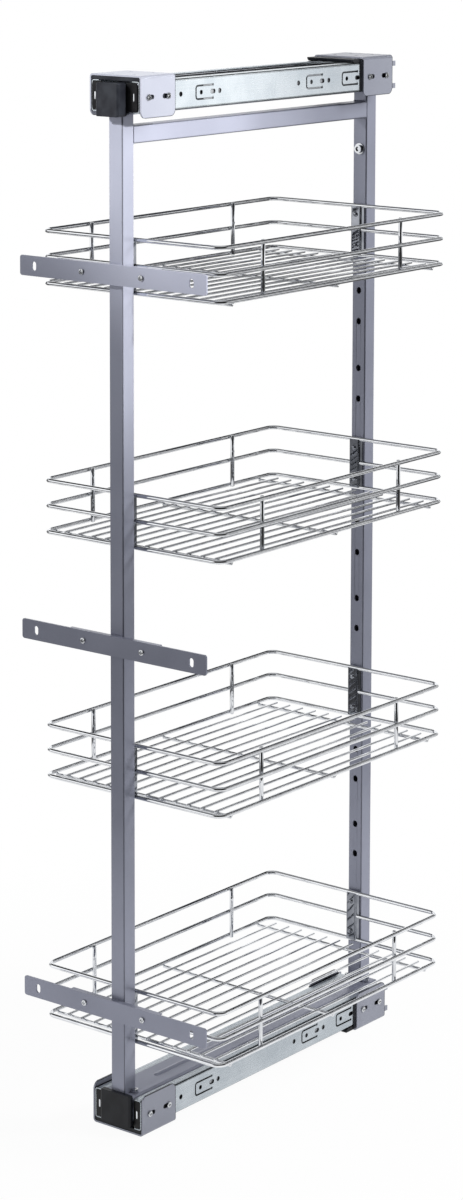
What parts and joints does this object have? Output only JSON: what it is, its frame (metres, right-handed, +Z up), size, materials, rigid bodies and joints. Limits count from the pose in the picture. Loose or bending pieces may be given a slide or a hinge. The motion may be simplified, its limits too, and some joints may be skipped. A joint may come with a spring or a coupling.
{
  "type": "pull out pantry frame",
  "caption": "Tall narrow pull-out larder frame: square uprights with hooked wire baskets and door plates, on ball bearing slides at floor and ceiling.",
  "frame": {"origin": "centre of the closed unit's bounding box, at the underside of the bottom saddles", "axes": "+X to the right seen from the door side, +Y to the rear of the cabinet, +Z up"},
  "size_m": [0.27, 0.493, 1.207],
  "materials": {
    "saddle_steel": "satin grey coat",
    "black_plastic": "matt",
    "zinc_rail": "bright zinc plate",
    "cage_steel": "plain sheet",
    "ball_steel": "polished",
    "frame_paint": "satin grey coat",
    "basket_chrome": "bright chrome plate",
    "fastener_zinc": "zinc plate"
  },
  "bodies": {
    "cabinet_rails": {"saddle_bottom_front": "saddle_steel", "saddle_bottom_rear": "saddle_steel", "saddle_top_front": "saddle_steel", "saddle_top_rear": "saddle_steel", "liner_bottom_front": "black_plastic", "liner_bottom_rear": "black_plastic", "liner_top_front": "black_plastic", "liner_top_rear": "black_plastic", "outer_rail_bottom_right": "zinc_rail", "outer_rail_bottom_left": "zinc_rail", "outer_rail_top_right": "zinc_rail", "outer_rail_top_left": "zinc_rail", "slide_screws": "fastener_zinc"},
    "frame": {"bottom_beam": "frame_paint", "top_beam": "frame_paint", "bottom_end_cap": "black_plastic", "top_end_cap": "black_plastic", "front_upright": "frame_paint", "rear_upright": "frame_paint", "cross_rail": "frame_paint", "foot_tabs": "frame_paint", "frame_bolts": "fastener_zinc", "upright_washers": "fastener_zinc", "carrier_screws": "fastener_zinc", "plate_screws": "fastener_zinc", "door_plate_bottom": "frame_paint", "door_plate_middle": "frame_paint", "door_plate_top": "frame_paint", "plate_clamp_bottom": "frame_paint", "plate_clamp_middle": "frame_paint", "plate_clamp_top": "frame_paint", "inner_rail_bottom_right": "zinc_rail", "inner_rail_bottom_left": "zinc_rail", "inner_rail_top_right": "zinc_rail", "inner_rail_top_left": "zinc_rail"},
    "outer_cage_set_bottom_right": {"outer_cage_bottom_right": "cage_steel", "outer_balls_bottom_right": "ball_steel"},
    "middle_rail_bottom_right": {"middle_rail_bottom_right": "zinc_rail"},
    "inner_cage_set_bottom_right": {"inner_cage_bottom_right": "cage_steel", "inner_balls_bottom_right": "ball_steel"},
    "outer_cage_set_bottom_left": {"outer_cage_bottom_left": "cage_steel", "outer_balls_bottom_left": "ball_steel"},
    "middle_rail_bottom_left": {"middle_rail_bottom_left": "zinc_rail"},
    "inner_cage_set_bottom_left": {"inner_cage_bottom_left": "cage_steel", "inner_balls_bottom_left": "ball_steel"},
    "outer_cage_set_top_right": {"outer_cage_top_right": "cage_steel", "outer_balls_top_right": "ball_steel"},
    "middle_rail_top_right": {"middle_rail_top_right": "zinc_rail"},
    "inner_cage_set_top_right": {"inner_cage_top_right": "cage_steel", "inner_balls_top_right": "ball_steel"},
    "outer_cage_set_top_left": {"outer_cage_top_left": "cage_steel", "outer_balls_top_left": "ball_steel"},
    "middle_rail_top_left": {"middle_rail_top_left": "zinc_rail"},
    "inner_cage_set_top_left": {"inner_cage_top_left": "cage_steel", "inner_balls_top_left": "ball_steel"},
    "basket_1": {"basket_1": "basket_chrome"},
    "basket_2": {"basket_2": "basket_chrome"},
    "basket_3": {"basket_3": "basket_chrome"},
    "basket_4": {"basket_4": "basket_chrome"}
  },
  "joints": [
    {"name": "frame_pullout", "type": "slide", "parent": "cabinet_rails", "child": "frame", "axis": [0, -1, 0], "range_m": [0, 0.43]},
    {"name": "outer_cage_slide_bottom_right", "type": "slide", "parent": "cabinet_rails", "child": "outer_cage_set_bottom_right", "axis": [0, -1, 0], "range_m": [0, 0.1075]},
    {"name": "middle_rail_slide_bottom_right", "type": "slide", "parent": "cabinet_rails", "child": "middle_rail_bottom_right", "axis": [0, -1, 0], "range_m": [0, 0.215]},
    {"name": "inner_cage_slide_bottom_right", "type": "slide", "parent": "cabinet_rails", "child": "inner_cage_set_bottom_right", "axis": [0, -1, 0], "range_m": [0, 0.3225]},
    {"name": "outer_cage_slide_bottom_left", "type": "slide", "parent": "cabinet_rails", "child": "outer_cage_set_bottom_left", "axis": [0, -1, 0], "range_m": [0, 0.1075]},
    {"name": "middle_rail_slide_bottom_left", "type": "slide", "parent": "cabinet_rails", "child": "middle_rail_bottom_left", "axis": [0, -1, 0], "range_m": [0, 0.215]},
    {"name": "inner_cage_slide_bottom_left", "type": "slide", "parent": "cabinet_rails", "child": "inner_cage_set_bottom_left", "axis": [0, -1, 0], "range_m": [0, 0.3225]},
    {"name": "outer_cage_slide_top_right", "type": "slide", "parent": "cabinet_rails", "child": "outer_cage_set_top_right", "axis": [0, -1, 0], "range_m": [0, 0.1075]},
    {"name": "middle_rail_slide_top_right", "type": "slide", "parent": "cabinet_rails", "child": "middle_rail_top_right", "axis": [0, -1, 0], "range_m": [0, 0.215]},
    {"name": "inner_cage_slide_top_right", "type": "slide", "parent": "cabinet_rails", "child": "inner_cage_set_top_right", "axis": [0, -1, 0], "range_m": [0, 0.3225]},
    {"name": "outer_cage_slide_top_left", "type": "slide", "parent": "cabinet_rails", "child": "outer_cage_set_top_left", "axis": [0, -1, 0], "range_m": [0, 0.1075]},
    {"name": "middle_rail_slide_top_left", "type": "slide", "parent": "cabinet_rails", "child": "middle_rail_top_left", "axis": [0, -1, 0], "range_m": [0, 0.215]},
    {"name": "inner_cage_slide_top_left", "type": "slide", "parent": "cabinet_rails", "child": "inner_cage_set_top_left", "axis": [0, -1, 0], "range_m": [0, 0.3225]},
    {"name": "basket_1_lift", "type": "slide", "parent": "frame", "child": "basket_1", "axis": [0, 0, 1], "range_m": [0, 0.0032]},
    {"name": "basket_2_lift", "type": "slide", "parent": "frame", "child": "basket_2", "axis": [0, 0, 1], "range_m": [0, 0.0032]},
    {"name": "basket_3_lift", "type": "slide", "parent": "frame", "child": "basket_3", "axis": [0, 0, 1], "range_m": [0, 0.0032]},
    {"name": "basket_4_lift", "type": "slide", "parent": "frame", "child": "basket_4", "axis": [0, 0, 1], "range_m": [0, 0.0032]}
  ],
  "couplings": [
    {"joint": "outer_cage_slide_bottom_right", "follows": "frame_pullout", "ratio": 0.25},
    {"joint": "middle_rail_slide_bottom_right", "follows": "frame_pullout", "ratio": 0.5},
    {"joint": "inner_cage_slide_bottom_right", "follows": "frame_pullout", "ratio": 0.75},
    {"joint": "outer_cage_slide_bottom_left", "follows": "frame_pullout", "ratio": 0.25},
    {"joint": "middle_rail_slide_bottom_left", "follows": "frame_pullout", "ratio": 0.5},
    {"joint": "inner_cage_slide_bottom_left", "follows": "frame_pullout", "ratio": 0.75},
    {"joint": "outer_cage_slide_top_right", "follows": "frame_pullout", "ratio": 0.25},
    {"joint": "middle_rail_slide_top_right", "follows": "frame_pullout", "ratio": 0.5},
    {"joint": "inner_cage_slide_top_right", "follows": "frame_pullout", "ratio": 0.75},
    {"joint": "outer_cage_slide_top_left", "follows": "frame_pullout", "ratio": 0.25},
    {"joint": "middle_rail_slide_top_left", "follows": "frame_pullout", "ratio": 0.5},
    {"joint": "inner_cage_slide_top_left", "follows": "frame_pullout", "ratio": 0.75}
  ]
}
